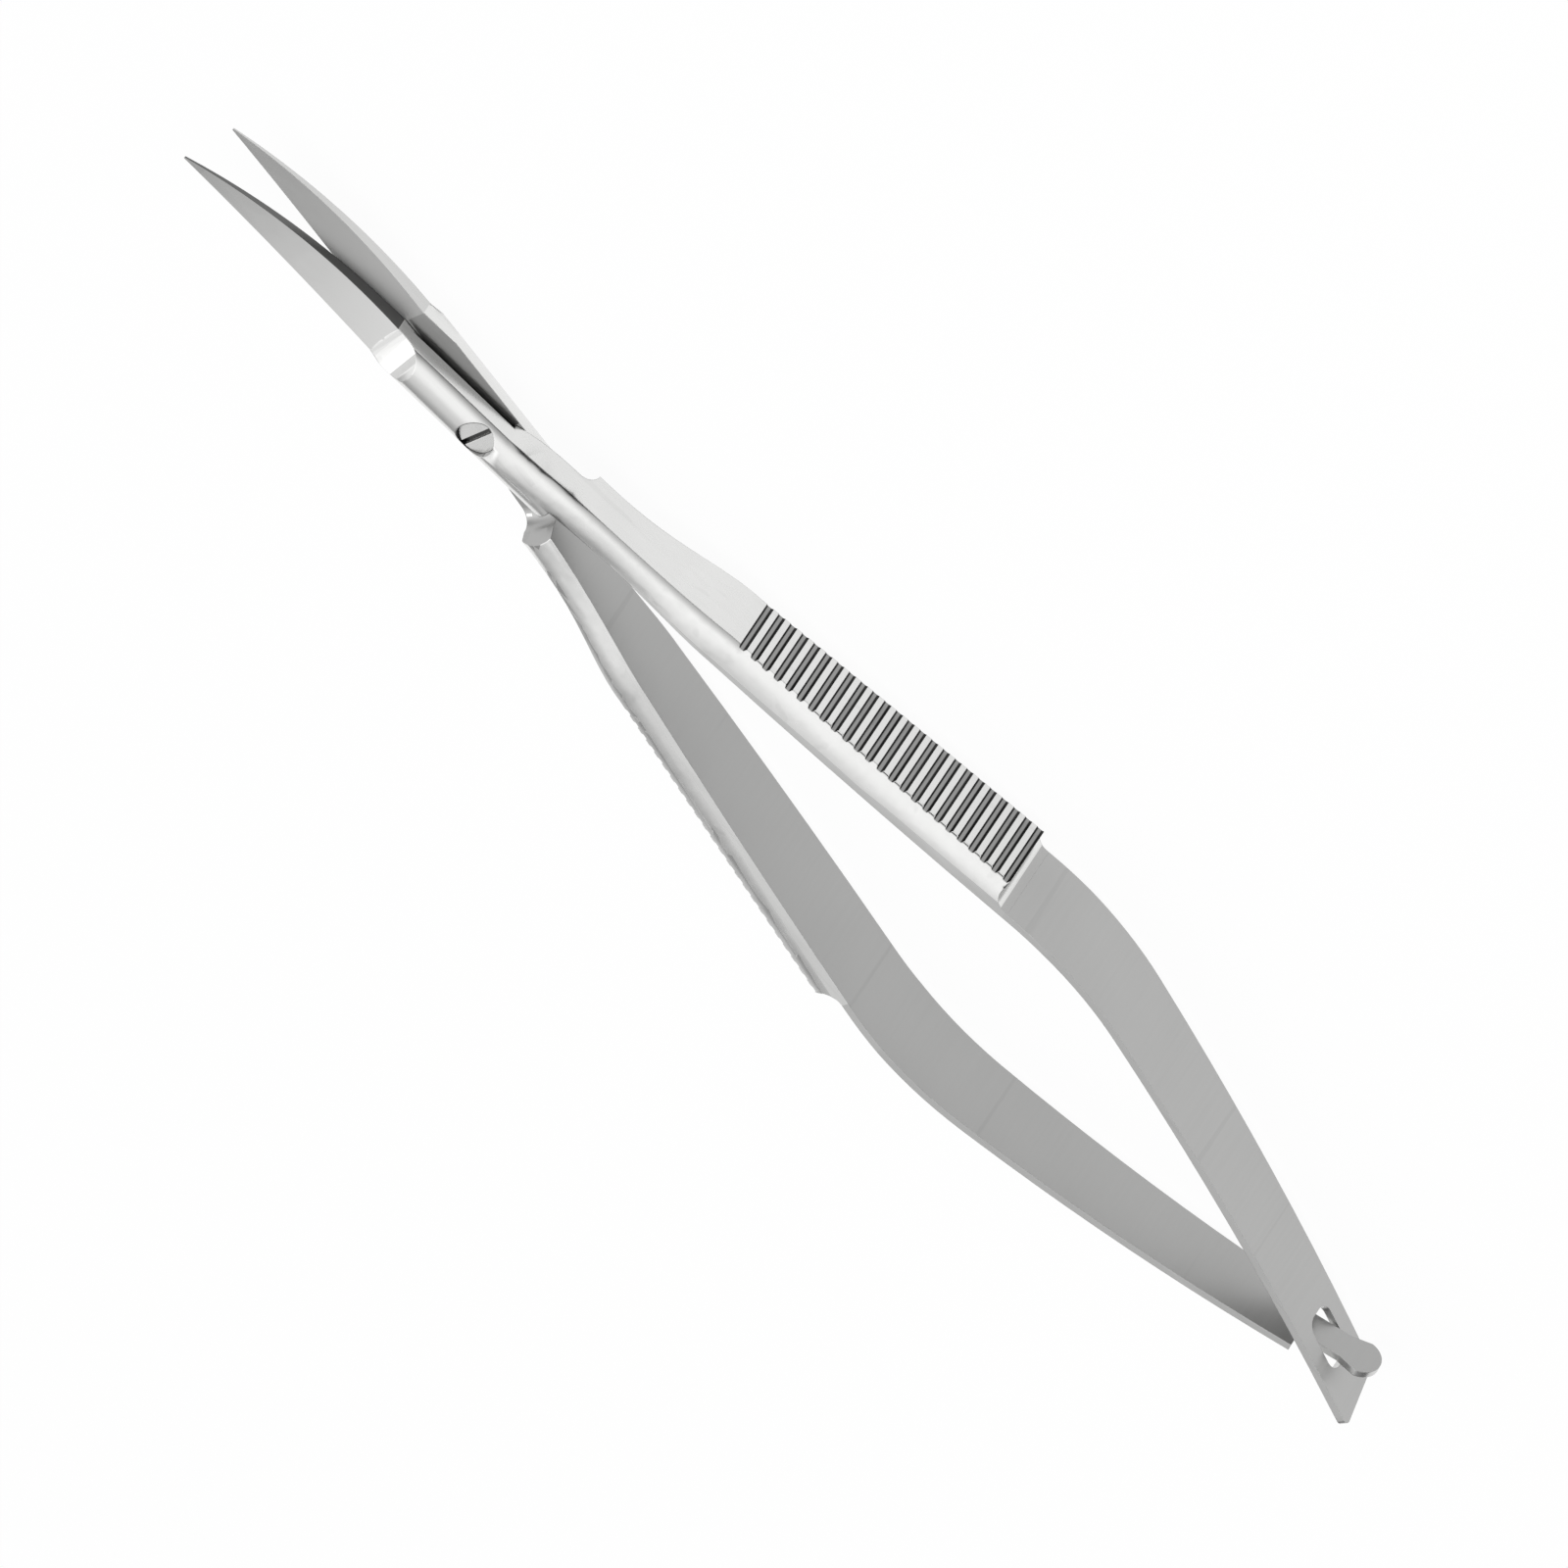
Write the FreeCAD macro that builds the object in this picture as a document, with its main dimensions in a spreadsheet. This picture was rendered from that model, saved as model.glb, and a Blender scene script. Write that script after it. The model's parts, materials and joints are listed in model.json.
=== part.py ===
import FreeCAD, Part
import math
import os
import Sketcher

# Spring-handled cuticle scissors, lying on one side with the screw head up.
# +X runs to the tips, Y is the way the arms open and Z is the pivot's axis.
# The upper arm carries the screw head and its grip lies on -Y.  The lower arm is
# the same arm turned over, with its grip on +Y.  Both blades bow upwards.

# Driving dimensions in millimetres.  Names in deg are angles, in count are counts.
SIZES = {
    # Opening: the turn of each arm from shut to rest, and the gap left by cutting tools
    "rest_turn_deg": 5.17,
    "overrun": 1.0,
    # Joint: two half-round bars lapped one on the other
    "lap_drop": 0.4,
    "lap_gap": 0.04,
    "bar_radius": 2.25,
    "bar_flat": 1.7,
    "bar_chamfer": 0.35,
    "bar_front": 9.2,
    "bar_back": 7.2,
    "lap_reach": 8.5,
    "lap_corner": 1.2,
    "lap_lean": 2.2,
    "scoop_length": 2.9,
    # Blades: lance outline, bowed upwards ahead of the joint
    "blade_reach": 28.0,
    "blade_root": 5.0,
    "blade_half_width": 1.65,
    "blade_root_half_width": 1.0,
    "blade_edge_radius": 107.0,
    "blade_bow_start": 12.0,
    "blade_rise": 1.7,
    "blade_heel_thick": 1.15,
    "blade_middle_thick": 0.6,
    "blade_tip_thick": 0.12,
    "tip_half_width": 0.06,
    "blade_sweep_deg": 40.0,
    # Pivot screw
    "screw_head_radius": 1.37,
    "screw_head_top": 1.32,
    "screw_seat": 0.55,
    "screw_radius": 0.8,
    "screw_tail": 2.1,
    "screw_gap": 0.03,
    "thread_gap": 0.01,
    "slot_width": 0.4,
    "slot_depth": 0.35,
    # Handles: a bar set askew to the blade, drawn through seven sections.  The lean is how much
    # further out the outer face stands at the lap than at the crown
    "handle_turn_deg": 5.33,
    "handle_offset": 0.72,
    "joint_back": 1.6,
    "joint_width": 3.52,
    "joint_face": 2.16,
    "joint_thick": 2.25,
    "joint_wall": 0.05,
    "joint_crown": 2.25,
    "joint_lean": 0.0,
    "neck_back": 5.0,
    "neck_width": 3.72,
    "neck_face": 2.6,
    "neck_thick": 2.4,
    "neck_wall": 0.05,
    "neck_crown": 2.25,
    "neck_lean": 0.5,
    "throat_back": 10.0,
    "throat_width": 3.6,
    "throat_face": 3.1,
    "throat_thick": 2.4,
    "throat_wall": 0.1,
    "throat_crown": 2.4,
    "throat_lean": 0.0,
    "waist_back": 16.0,
    "waist_width": 4.45,
    "waist_face": 3.75,
    "waist_thick": 2.4,
    "waist_wall": 0.2,
    "waist_crown": 3.0,
    "waist_lean": 0.0,
    "shank_back": 22.0,
    "shank_width": 5.6,
    "shank_face": 4.5,
    "shank_thick": 2.75,
    "shank_wall": 0.35,
    "shank_crown": 3.6,
    "shank_lean": 0.0,
    "grip_back": 34.0,
    "grip_width": 6.6,
    "grip_face": 5.1,
    "grip_wall": 0.65,
    "grip_crown": 3.6,
    "grip_lean": 0.0,
    "heel_width": 7.15,
    "heel_face": 5.7,
    "heel_thick": 2.52,
    "heel_wall": 0.9,
    "heel_crown": 3.6,
    "heel_lean": 0.0,
    # Grooves across the outer face of each grip
    "groove_first": 23.0,
    "groove_pitch": 1.043,
    "groove_width": 0.6,
    "groove_floor": 0.34,
    "groove_depth": 0.22,
    "groove_count": 24,
    # Step down to the spring leaf
    "step_back": 47.3,
    "step_fillet": 1.2,
    # Spring leaves: thin strips that turn in behind the grips and hook together
    "leaf_thick": 0.55,
    "leaf_root": 49.0,
    "leaf_land": 3.0,
    "root_radius": 0.4,
    "root_gap": 0.03,
    "bend_radius": 28.0,
    "bend_turn_deg": 23.2,
    "eye_leaf_bow": 255.0,
    "eye_along": 28.5,
    "eye_length": 4.2,
    "eye_shift": 0.25,
    "eye_width": 2.8,
    "eye_corner": 1.0,
    "tail_reach": 5.3,
    "tail_slant": 1.0,
    "tail_width": 5.5,
    "tail_corner": 0.5,
    "shoulder_reach": 1.9,
    "shoulder_width": 4.95,
    "neck_strip_width": 2.2,
    "neck_strip_reach": 1.2,
    "head_reach": 2.7,
    "head_width": 2.96,
    "head_end_radius": 1.5,
    "tongue_drop": 0.15,
}

# Sections of each stretch of a handle, from the joint to the leaf
STRETCHES = {"neck_bar": ("joint", "neck", "throat", "waist", "shank"), "grip_bar": ("shank", "grip", "heel")}

doc = FreeCAD.newDocument("cuticle_scissors")
sheet = doc.addObject("Spreadsheet::Sheet", "sizes")
VECTOR = FreeCAD.Vector
UPRIGHT = VECTOR(0, 0, 1)


class Dim:
    """A size that carries its value and the sheet formula that gives it."""

    def __init__(self, value, formula):
        self.value = value
        self.formula = formula

    def joined(self, sign, other, value):
        return Dim(value, "(%s %s %s)" % (self.formula, sign, other.formula))

    def __add__(self, other):
        other = as_dim(other)
        return self.joined("+", other, self.value + other.value)

    def __sub__(self, other):
        other = as_dim(other)
        return self.joined("-", other, self.value - other.value)

    def __mul__(self, other):
        other = as_dim(other)
        return self.joined("*", other, self.value * other.value)

    def __truediv__(self, other):
        other = as_dim(other)
        return self.joined("/", other, self.value / other.value)

    def __neg__(self):
        return Dim(-self.value, "(-%s)" % self.formula)

    __rmul__ = __mul__


def as_dim(number):
    return number if isinstance(number, Dim) else Dim(float(number), repr(float(number)))


def keep(name, value):
    """Write one plain number into the sheet under its own alias."""
    keep.row += 1
    sheet.set("A%d" % keep.row, name)
    sheet.set("B%d" % keep.row, repr(value))
    sheet.setAlias("B%d" % keep.row, name)
    return Dim(value, "sizes." + name)


keep.row = 0
size = {name: keep(name, value) for name, value in SIZES.items()}
doc.recompute()


# Sketches and features

def new_sketch(body, name, role, base=(0, 0, 0), axis=UPRIGHT, turn_deg=0):
    """An empty sketch on one of the body's own origin planes, moved and turned in that plane's axes."""
    sketch = body.newObject("Sketcher::SketchObject", name)
    plane = [item for item in body.Origin.OriginFeatures if item.Role == role][0]
    sketch.AttachmentSupport = [(plane, "")]
    sketch.MapMode = "FlatFace"
    places = [as_dim(place) for place in base]
    turn = FreeCAD.Rotation(axis, turn_deg)
    sketch.AttachmentOffset = FreeCAD.Placement(VECTOR(*[place.value for place in places]), turn)
    for letter, place in zip("xyz", places):
        sketch.setExpression("AttachmentOffset.Base." + letter, place.formula)
    return sketch


def fix_point(sketch, edge, end, point):
    """Hold one end of an edge at its place, bound to the sheet."""
    for kind, axis, place in (("DistanceX", -2, point[0]), ("DistanceY", -1, point[1])):
        if place.value == 0:
            sketch.addConstraint(Sketcher.Constraint("PointOnObject", edge, end, axis))
            continue
        index = sketch.addConstraint(Sketcher.Constraint(kind, -1, 1, edge, end, place.value))
        sketch.setExpression("Constraints[%d]" % index, place.formula)


def arc_between(start, end, radius, turn):
    """The short arc from start to end, turning left for turn 1 and right for -1."""
    chord = end - start
    side = VECTOR(-chord.y, chord.x, 0).normalize() * turn
    rise = math.sqrt(max(radius ** 2 - (chord.Length / 2) ** 2, 0))
    centre = (start + end) * 0.5 + side * rise
    first, last = (start, end) if turn > 0 else (end, start)
    angles = [math.atan2(point.y - centre.y, point.x - centre.x) for point in (first, last)]
    if angles[1] < angles[0]:
        angles[1] += 2 * math.pi
    return Part.ArcOfCircle(Part.Circle(centre, UPRIGHT, radius), *angles)


def add_outline(sketch, corners, arcs=None):
    """A closed outline through the corners.  arcs maps an edge's number to its radius and turn."""
    arcs = arcs or {}
    corners = [(as_dim(x), as_dim(y)) for x, y in corners]
    points = [VECTOR(x.value, y.value, 0) for x, y in corners]
    edges = []
    for number, start in enumerate(points):
        end = points[(number + 1) % len(points)]
        if number in arcs:
            radius, turn = arcs[number]
            edge = sketch.addGeometry(arc_between(start, end, radius.value, turn), False)
            index = sketch.addConstraint(Sketcher.Constraint("Radius", edge, radius.value))
            sketch.setExpression("Constraints[%d]" % index, radius.formula)
            edges.append((edge, 1, 2) if turn > 0 else (edge, 2, 1))
        else:
            edges.append((sketch.addGeometry(Part.LineSegment(start, end), False), 1, 2))
    for number, (edge, first, last) in enumerate(edges):
        following = edges[(number + 1) % len(edges)]
        sketch.addConstraint(Sketcher.Constraint("Coincident", edge, last, following[0], following[1]))
        fix_point(sketch, edge, first, corners[number])


def add_circle(sketch, centre, radius):
    centre = [as_dim(place) for place in centre]
    middle = VECTOR(centre[0].value, centre[1].value, 0)
    edge = sketch.addGeometry(Part.Circle(middle, UPRIGHT, radius.value), False)
    index = sketch.addConstraint(Sketcher.Constraint("Radius", edge, radius.value))
    sketch.setExpression("Constraints[%d]" % index, radius.formula)
    fix_point(sketch, edge, 3, centre)


def cut(body, sketch):
    """A pocket through the whole body both ways, which has to take some metal away."""
    before = body.Tip.Shape.Volume
    pocket = body.newObject("PartDesign::Pocket", sketch.Name + "_cut")
    pocket.Profile = sketch
    pocket.Type = "ThroughAll"
    pocket.SideType = "Symmetric"
    doc.recompute()
    if not pocket.Shape.Volume < before:
        raise RuntimeError(pocket.Name + " cuts nothing")
    return pocket


def spin(body, kind, sketch, turn_deg=360):
    """A revolution or a groove about the sketch's upright axis."""
    feature = body.newObject("PartDesign::" + kind, sketch.Name + "_spin")
    feature.Profile = sketch
    feature.ReferenceAxis = (sketch, ["V_Axis"])
    feature.Midplane = True
    if isinstance(turn_deg, Dim):
        feature.setExpression("Angle", turn_deg.formula)
    else:
        feature.Angle = turn_deg
    doc.recompute()
    return feature


def radius_through(first, middle, last):
    """Radius of the circle through three points."""
    a = (middle - first).Length
    b = (last - middle).Length
    c = (last - first).Length
    area = abs((middle - first).cross(last - first).z) / 2
    return a * b * c / (4 * area)


# Sizes that follow from the driving ones

def lap(up):
    """Level of the lapped face of the upper arm (up 1) or the lower arm (up -1)."""
    return up * size["lap_gap"] / 2 - size["lap_drop"]


bow_run = SIZES["blade_reach"] - SIZES["blade_bow_start"]
bow_radius = keep("bow_radius", (bow_run ** 2 + SIZES["blade_rise"] ** 2) / (2 * SIZES["blade_rise"]))
flat_height = keep("flat_height", math.sqrt(SIZES["bar_radius"] ** 2 - SIZES["bar_flat"] ** 2))
bar_end = keep("bar_end", math.sqrt(SIZES["bar_back"] ** 2 - (SIZES["bar_radius"] + SIZES["overrun"]) ** 2))
scoop_depth = SIZES["bar_radius"] - SIZES["blade_heel_thick"]
scoop_radius = keep("scoop_radius", (SIZES["scoop_length"] ** 2 + scoop_depth ** 2) / (2 * scoop_depth))
face_taper_deg = math.degrees(math.atan2(SIZES["shank_thick"] - SIZES["heel_thick"],
                                         SIZES["leaf_root"] - SIZES["shank_back"]))


def blade_back_radius(up):
    """Radius of the bowed outer face, through its heel, its middle and its tip."""
    middle_run = (SIZES["bar_front"] + SIZES["blade_reach"]) / 2 - SIZES["blade_bow_start"]
    middle_rise = bow_radius.value - math.sqrt(bow_radius.value ** 2 - middle_run ** 2)
    heel = VECTOR(SIZES["bar_front"], up * SIZES["blade_heel_thick"], 0)
    middle = VECTOR(SIZES["blade_bow_start"] + middle_run, middle_rise + up * SIZES["blade_middle_thick"], 0)
    tip = VECTOR(SIZES["blade_reach"], SIZES["blade_rise"] + up * SIZES["blade_tip_thick"], 0)
    return radius_through(heel, middle, tip)


# Arms

def grip_thickness(back):
    """Thickness at a distance behind the pivot, of a grip with a flat outer face from shank to heel."""
    share = (back - size["shank_back"]) / (size["leaf_root"] - size["shank_back"])
    return size["shank_thick"] + (size["heel_thick"] - size["shank_thick"]) * share


def handle_section(body, name, station, up):
    """Outline across a handle: a flat inner face, side walls, round crowns and a flat outer face."""
    back = size["leaf_root"] if station == "heel" else size[station + "_back"]
    thick = grip_thickness(back) if station == "grip" else size[station + "_thick"]
    sketch = new_sketch(body, name + "_" + station, "YZ_Plane", (0, 0, -back))
    inner = up * size["handle_offset"]
    half_width = size[station + "_width"] / 2
    half_face = size[station + "_face"] / 2
    wall = inner - up * size[station + "_wall"]
    outer = inner - up * thick
    outer_at = {up: outer, -up: outer - up * size[station + "_lean"]}
    crown = (size[station + "_crown"], up)
    corners = [(inner, -half_width), (inner, half_width), (wall, half_width),
               (outer_at[1], half_face), (outer_at[-1], -half_face), (wall, -half_width)]
    add_outline(sketch, corners, {2: crown, 4: crown})
    return sketch


def make_handle(name, up):
    """Tapering bar behind the joint, with its grooves and its step, along its own inner face."""
    body = doc.addObject("PartDesign::Body", name + "_handle")
    inner = up * size["handle_offset"]
    for stretch, stations in STRETCHES.items():
        sections = [handle_section(body, "%s_%s" % (name, stretch), station, up) for station in stations]
        loft = body.newObject("PartDesign::AdditiveLoft", "%s_%s" % (name, stretch))
        loft.Profile = sections[0]
        loft.Sections = sections[1:]
        doc.recompute()

    # Half of the joint's thickness is left to the other arm, up to a leaning wall with a hollow corner
    sketch = new_sketch(body, name + "_lap", "XZ_Plane")
    level = lap(up)
    reach = size["lap_reach"]
    corner = size["lap_corner"]
    far = level - up * size["heel_width"]
    corners = [(0, level), (reach - corner, level), (reach, level - up * corner),
               (reach + size["lap_lean"], far), (0, far)]
    add_outline(sketch, corners, {1: (corner, -up)})
    spin(body, "Groove", sketch)

    # Step from the grip down to the leaf, with a hollow corner
    floor = inner - up * size["leaf_thick"]
    side = floor - up * size["step_fillet"]
    beyond = -(size["leaf_root"] + size["overrun"])
    outside = inner - up * (size["shank_thick"] + size["overrun"])
    step = -size["step_back"]
    sketch = new_sketch(body, name + "_step", "XY_Plane")
    corners = [(step, outside), (step, side), (step - size["step_fillet"], floor),
               (beyond, floor), (beyond, outside)]
    add_outline(sketch, corners, {1: (size["step_fillet"], up)})
    cut(body, sketch)

    # Hollow end that the leaf's round root sits in
    sketch = new_sketch(body, name + "_root_seat", "XY_Plane")
    add_circle(sketch, (-size["leaf_root"], inner - up * size["leaf_thick"] / 2),
               size["root_radius"] + size["root_gap"])
    cut(body, sketch)

    # Flat-bottomed grooves that run out on the crowns
    taper = math.tan(math.radians(face_taper_deg))
    face = inner - up * (size["shank_thick"] - (size["groove_first"] - size["shank_back"]) * taper)
    sketch = new_sketch(body, name + "_groove", "XY_Plane", (-size["groove_first"], face, 0),
                        UPRIGHT, -up * face_taper_deg)
    half_groove = size["groove_width"] / 2
    half_floor = size["groove_floor"] / 2
    clear = -up * size["overrun"]
    floor = up * size["groove_depth"]
    add_outline(sketch, [(-half_groove, 0), (-half_groove, clear), (half_groove, clear), (half_groove, 0),
                         (half_floor, floor), (-half_floor, floor)])
    groove = cut(body, sketch)
    pattern = body.newObject("PartDesign::LinearPattern", name + "_grooves")
    pattern.Originals = [groove]
    pattern.Direction = (sketch, ["H_Axis"])
    pattern.Reversed = True
    pattern.setExpression("Length", "(sizes.groove_count - 1) * sizes.groove_pitch")
    pattern.setExpression("Occurrences", "sizes.groove_count")
    body.Tip = pattern
    body.Placement.Rotation = FreeCAD.Rotation(UPRIGHT, up * SIZES["handle_turn_deg"])
    return body


def make_bar(name, up):
    """Half-round bar of the joint, scooped down to the blade and bored for the screw."""
    body = doc.addObject("PartDesign::Body", name + "_joint")
    level = lap(up)
    sketch = new_sketch(body, name + "_bar_section", "YZ_Plane")
    flat = -up * size["bar_flat"]
    chamfer = up * size["bar_chamfer"]
    corners = [(flat + chamfer, level), (up * size["bar_radius"], level),
               (flat, level + up * flat_height), (flat, level + chamfer)]
    add_outline(sketch, corners, {1: (size["bar_radius"], 1)})
    pad = body.newObject("PartDesign::Pad", name + "_bar_pad")
    pad.Profile = sketch
    pad.SideType = "Two sides"
    pad.setExpression("Length", size["bar_front"].formula)
    pad.setExpression("Length2", size["bar_back"].formula)
    doc.recompute()

    # Back end rounded about the pivot, inside the hollow of the other arm
    sketch = new_sketch(body, name + "_bar_end", "XY_Plane")
    clear = size["bar_back"] + size["overrun"]
    side = size["bar_radius"] + size["overrun"]
    add_outline(sketch, [(-clear, -side), (-bar_end, -side), (-bar_end, side), (-clear, side)],
                {1: (size["bar_back"], -1)})
    cut(body, sketch)

    sketch = new_sketch(body, name + "_scoop", "XZ_Plane")
    scoop_level = level + up * (size["blade_heel_thick"] + scoop_radius)
    add_circle(sketch, (size["bar_front"], scoop_level), scoop_radius)
    cut(body, sketch)

    sketch = new_sketch(body, name + "_bore", "XZ_Plane")
    near = level - up * size["overrun"]
    far = level + up * (size["bar_radius"] + size["overrun"])
    if up > 0:
        bore = size["screw_radius"] + size["screw_gap"]
        sink = size["screw_head_radius"] + size["screw_gap"]
        seat = size["screw_seat"] - size["screw_gap"]
        corners = [(0, near), (bore, near), (bore, seat), (sink, seat), (sink, far), (0, far)]
    else:
        bore = size["screw_radius"] + size["thread_gap"]
        corners = [(0, near), (bore, near), (bore, far), (0, far)]
    add_outline(sketch, corners)
    spin(body, "Groove", sketch)
    return body


def make_blade(name, up):
    """Bowed blade whose flat side is swept about the pivot, so that the two slide on each other."""
    body = doc.addObject("PartDesign::Body", name + "_blade")
    level = lap(up)
    thick = up * size["blade_heel_thick"]
    tip_level = level + size["blade_rise"]
    back = keep(name + "_blade_back_radius", blade_back_radius(up))
    sketch = new_sketch(body, name + "_blade_side", "XZ_Plane")
    corners = [(size["blade_root"], level), (size["blade_bow_start"], level),
               (size["blade_reach"], tip_level), (size["blade_reach"], tip_level + up * size["blade_tip_thick"]),
               (size["bar_front"], level + thick), (size["blade_root"], level + thick)]
    add_outline(sketch, corners, {1: (bow_radius, 1), 3: (back, -1)})
    spin(body, "Revolution", sketch, size["blade_sweep_deg"])

    sketch = new_sketch(body, name + "_blade_outline", "XY_Plane")
    reach = size["blade_reach"]
    add_outline(sketch, [(0, -reach), (reach + size["overrun"], -reach), (reach + size["overrun"], reach), (0, reach)])
    edge = (size["blade_edge_radius"], 1)
    tip = reach - size["tip_half_width"]
    corners = [(size["blade_root"] - size["tip_half_width"], -size["blade_root_half_width"]),
               (size["bar_front"], -size["blade_half_width"]), (tip, -size["tip_half_width"]),
               (tip, size["tip_half_width"]), (size["bar_front"], size["blade_half_width"]),
               (size["blade_root"] - size["tip_half_width"], size["blade_root_half_width"])]
    add_outline(sketch, corners, {1: edge, 3: edge})
    cut(body, sketch)
    return body


def make_arm(name, up):
    """One arm from its tip to the step behind its grip."""
    arm = doc.addObject("Part::MultiFuse", name)
    arm.Shapes = [make_handle(name, up), make_bar(name, up), make_blade(name, up)]
    arm.Refine = True
    return arm


# Pivot screw

def make_screw(name):
    """Slotted screw: its head lies in the upper arm and its tail is held in the lower arm."""
    body = doc.addObject("PartDesign::Body", name)
    sketch = new_sketch(body, name + "_section", "XZ_Plane")
    tail = -size["screw_tail"]
    corners = [(0, tail), (size["screw_radius"], tail), (size["screw_radius"], size["screw_seat"]),
               (size["screw_head_radius"], size["screw_seat"]),
               (size["screw_head_radius"], size["screw_head_top"]), (0, size["screw_head_top"])]
    add_outline(sketch, corners)
    spin(body, "Revolution", sketch)
    sketch = new_sketch(body, name + "_slot", "XZ_Plane")
    half_slot = size["slot_width"] / 2
    floor = size["screw_head_top"] - size["slot_depth"]
    ceiling = size["screw_head_top"] + size["overrun"]
    add_outline(sketch, [(-half_slot, floor), (half_slot, floor), (half_slot, ceiling), (-half_slot, ceiling)])
    cut(body, sketch)
    return body


# Spring leaves, drawn in the frame of their own handle

def inward(turn):
    """Unit vector to the leaf's inner side where it has turned in by that angle."""
    return VECTOR(math.sin(turn), math.cos(turn), 0)


ROOT = VECTOR(-SIZES["leaf_root"], SIZES["handle_offset"], 0)
BEND = math.radians(SIZES["bend_turn_deg"])
BEND_CENTRE = ROOT + inward(0) * SIZES["bend_radius"]
BEND_END = BEND_CENTRE - inward(BEND) * SIZES["bend_radius"]
HALF_LEAF = SIZES["leaf_thick"] / 2


def eye_leaf_path():
    """Radius of the upper leaf's long bow, its turn at the eye and the eye's centre."""
    bow = SIZES["eye_leaf_bow"]
    turn = BEND + SIZES["eye_along"] / bow
    centre = BEND_END + inward(BEND) * bow - inward(turn) * (bow + HALF_LEAF)
    return bow, turn, centre


def tongue_leaf_path():
    """The lower leaf's bow, which takes its middle through the eye's centre, and its turn there."""
    eye = eye_leaf_path()[2]
    lean = 2 * (SIZES["rest_turn_deg"] + SIZES["handle_turn_deg"])
    turned = FreeCAD.Rotation(UPRIGHT, lean).multVec(eye)
    centre = VECTOR(turned.x, -turned.y, 0)
    start = BEND_END - inward(BEND) * HALF_LEAF
    chord = centre - start
    bow = chord.Length ** 2 / (2 * chord.dot(inward(BEND)))
    turn = BEND + 2 * math.asin(chord.Length / (2 * bow))
    return bow - HALF_LEAF, turn, centre


def make_strip(name, up, path, reach):
    """Bent strip of constant thickness, as wide as the heel, from its round root to past the eye."""
    bow, turn, centre = path
    body = doc.addObject("PartDesign::Body", name)
    end = turn + reach / bow
    bow_centre = BEND_END + inward(BEND) * bow
    outer_bend = BEND_CENTRE - inward(BEND) * (SIZES["bend_radius"] + SIZES["leaf_thick"])
    inner_end = bow_centre - inward(end) * bow
    outer_end = bow_centre - inward(end) * (bow + SIZES["leaf_thick"])
    places = {"bend": BEND_END, "outer_bend": outer_bend, "end": inner_end, "outer_end": outer_end}
    spot = {}
    for label, point in places.items():
        spot[label] = (keep("%s_%s_x" % (name, label), point.x), keep("%s_%s_y" % (name, label), up * point.y))
    nose = math.sqrt(SIZES["root_radius"] ** 2 - HALF_LEAF ** 2)
    front = keep(name + "_nose", nose) - size["leaf_root"]
    inner = up * size["handle_offset"]
    outer = inner - up * size["leaf_thick"]
    bow_size = keep(name + "_bow", bow)
    sketch = new_sketch(body, name + "_side", "XY_Plane")
    corners = [(front, inner), (-size["leaf_root"], inner), spot["bend"], spot["end"], spot["outer_end"],
               spot["outer_bend"], (-size["leaf_root"], outer), (front, outer)]
    add_outline(sketch, corners, {1: (size["bend_radius"], -up), 2: (bow_size, -up),
                                  4: (bow_size + size["leaf_thick"], up),
                                  5: (size["bend_radius"] + size["leaf_thick"], up),
                                  7: (size["root_radius"], -up)})
    pad = body.newObject("PartDesign::Pad", name + "_pad")
    pad.Profile = sketch
    pad.SideType = "Symmetric"
    pad.setExpression("Length", size["heel_width"].formula)
    doc.recompute()
    return body


def leaf_plan(body, name, up, path):
    """A sketch square to the leaf at the eye, with +X along the leaf to its root and +Y up.

    Its sides stay parallel for a land at the root, which the tool rests on, and taper from there.
    """
    bow, turn, centre = path
    heading = VECTOR(math.cos(turn), -math.sin(turn), 0)
    span = keep(name + "_span", (ROOT - centre).dot(heading))
    land = span - size["leaf_land"]
    place = (keep(name + "_eye_x", centre.x), 0, keep(name + "_eye_y", -up * centre.y))
    sketch = new_sketch(body, name + "_plan", "XZ_Plane", place, VECTOR(0, 1, 0), -up * math.degrees(turn))
    far = span + size["overrun"]
    beyond = -(size["tail_reach"] + 2 * size["overrun"])
    add_outline(sketch, [(beyond, -size["heel_width"]), (far + size["overrun"], -size["heel_width"]),
                         (far + size["overrun"], size["heel_width"]), (beyond, size["heel_width"])])
    half_width = size["heel_width"] / 2
    clear = half_width + size["overrun"]
    return sketch, [(land, -half_width), (far, -clear), (far, clear), (land, half_width)]


def make_eye_leaf(name, up):
    """Upper leaf: it tapers to a square tail and has the eye that the tongue hooks through."""
    path = eye_leaf_path()
    body = make_strip(name, up, path, SIZES["tail_reach"] + SIZES["overrun"])
    sketch, corners = leaf_plan(body, name, up, path)
    half_tail = size["tail_width"] / 2
    corner = size["tail_corner"]
    top = -size["tail_reach"]
    low = top + size["tail_slant"]
    corners += [(top + corner, half_tail), (top, half_tail - corner),
                (low, corner - half_tail), (low + corner, -half_tail)]
    add_outline(sketch, corners, {4: (corner, 1), 6: (corner, 1)})
    add_slot(sketch, size["eye_shift"], size["eye_length"] / 2, size["eye_width"] / 2, size["eye_corner"])
    cut(body, sketch)
    return body


def add_slot(sketch, middle, half_length, half_width, corner):
    """A rectangle with round corners about a point on the sketch's X axis."""
    back = middle - half_length
    front = middle + half_length
    inner_width = half_width - corner
    corners = [(back + corner, -half_width), (front - corner, -half_width), (front, -inner_width),
               (front, inner_width), (front - corner, half_width), (back + corner, half_width),
               (back, inner_width), (back, -inner_width)]
    add_outline(sketch, corners, {1: (corner, 1), 3: (corner, 1), 5: (corner, 1), 7: (corner, 1)})


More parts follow.
